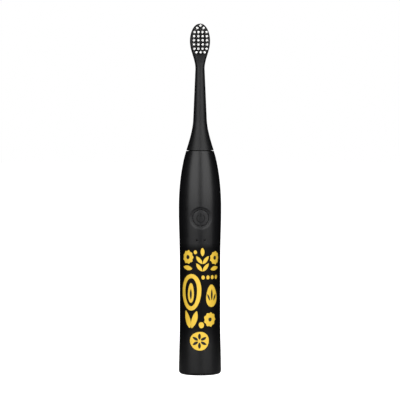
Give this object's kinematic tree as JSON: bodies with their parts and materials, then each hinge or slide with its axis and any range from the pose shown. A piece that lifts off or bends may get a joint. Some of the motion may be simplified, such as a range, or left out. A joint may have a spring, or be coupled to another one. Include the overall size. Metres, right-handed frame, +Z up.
{
  "type": "electric toothbrush",
  "caption": "Slim round sonic toothbrush standing on its base: removable brush head on an oscillating shaft, round push button, blind charging socket underneath.",
  "frame": {"origin": "centre of the base face that the brush stands on", "axes": "+Z up the handle towards the brush head, -Y the front, which the bristles, button and lamps face, +X to the viewer's right"},
  "size_m": [0.0292, 0.0292, 0.24],
  "materials": {
    "soft_touch_black": "satin soft-touch paint over ABS",
    "gloss_black": "moulded ABS, semi-gloss",
    "head_black": "moulded polypropylene, satin",
    "button_black": "satin soft-touch",
    "bristle": "extruded nylon filament",
    "seal_rubber": "silicone",
    "black_rubber": "nitrile rubber",
    "chassis_plastic": "glass-filled nylon",
    "acetal": "acetal",
    "copper_wire": "enamelled copper wire",
    "cell_metal": "nickel-plated can",
    "cell_wrap": "PVC shrink sleeve",
    "foam": "closed-cell foam",
    "nickel": "nickel strip",
    "board_green": "glass epoxy with solder mask",
    "chip_black": "moulded epoxy",
    "ceramic_part": "ceramic capacitor",
    "lamp_white": "clear epoxy lens",
    "smoke_lens": "smoked polycarbonate",
    "steel": "stainless steel",
    "laminated_steel": "electrical steel laminations",
    "magnet_plate": "nickel-plated neodymium",
    "dark_plastic": "glass-filled PBT",
    "bronze": "sintered bronze",
    "brass_anchor": "brass strip",
    "lead_red": "PVC insulation",
    "lead_yellow": "PVC insulation",
    "print_ink": "pad-printed ink",
    "button_mark": "matt pad-printed mark"
  },
  "bodies": {
    "handle": {"handle_shell": "soft_touch_black", "base_cap": "gloss_black", "base_seal_ring": "seal_rubber", "coil_bobbin": "acetal", "receiver_coil": "copper_wire", "coil_leads": "lead_red", "lower_chassis": "chassis_plastic", "battery_cell": "cell_metal", "battery_wrap": "cell_wrap", "battery_pad": "foam", "battery_tab_top": "nickel", "battery_tab_bottom": "nickel", "circuit_board": "board_green", "control_chip": "chip_black", "charge_inductor": "chip_black", "capacitors": "ceramic_part", "lamp_left": "lamp_white", "lamp_right": "lamp_white", "light_pipe_left": "smoke_lens", "light_pipe_right": "smoke_lens", "switch_body": "dark_plastic", "upper_chassis": "chassis_plastic", "chassis_screws": "steel", "board_screws": "steel", "motor_can": "steel", "motor_base_cap": "dark_plastic", "motor_top_plate": "dark_plastic", "stator_core": "laminated_steel", "stator_coil_left": "copper_wire", "stator_coil_right": "copper_wire", "lower_bearing": "bronze", "upper_bearing": "bronze", "lower_motor_damper": "black_rubber", "upper_motor_damper": "black_rubber", "motor_leads": "lead_yellow", "nose_collar": "dark_plastic", "shaft_seal": "black_rubber"},
    "drive": {"drive_shaft": "steel", "rotor_core": "laminated_steel", "rotor_magnet_left": "magnet_plate", "rotor_magnet_right": "magnet_plate", "shaft_circlip": "steel"},
    "brush_head": {"brush_head_shell": "head_black", "head_coupling": "acetal", "retention_clip": "steel", "bristle_tufts": "bristle", "tuft_anchors": "brass_anchor"},
    "button": {"power_button": "button_black", "button_seal": "seal_rubber"},
    "plunger": {"switch_plunger": "acetal"}
  },
  "joints": [
    {"name": "drive_oscillation", "type": "hinge", "parent": "handle", "child": "drive", "pos_m": [0, 0, 0.11], "axis": [0, 0, 1], "range_deg": [-6, 6], "stiffness_Nm_per_rad": 0.02},
    {"name": "head_pull_off", "type": "slide", "parent": "drive", "child": "brush_head", "axis": [0, 0, 1], "range_m": [0, 0.03]},
    {"name": "button_press", "type": "slide", "parent": "handle", "child": "button", "axis": [0, 1, 0], "range_m": [0, 0.00035], "stiffness_N_per_m": 3000},
    {"name": "plunger_travel", "type": "slide", "parent": "handle", "child": "plunger", "axis": [0, 1, 0], "range_m": [0, 0.00035]}
  ],
  "couplings": [
    {"joint": "plunger_travel", "follows": "button_press", "ratio": 1}
  ]
}
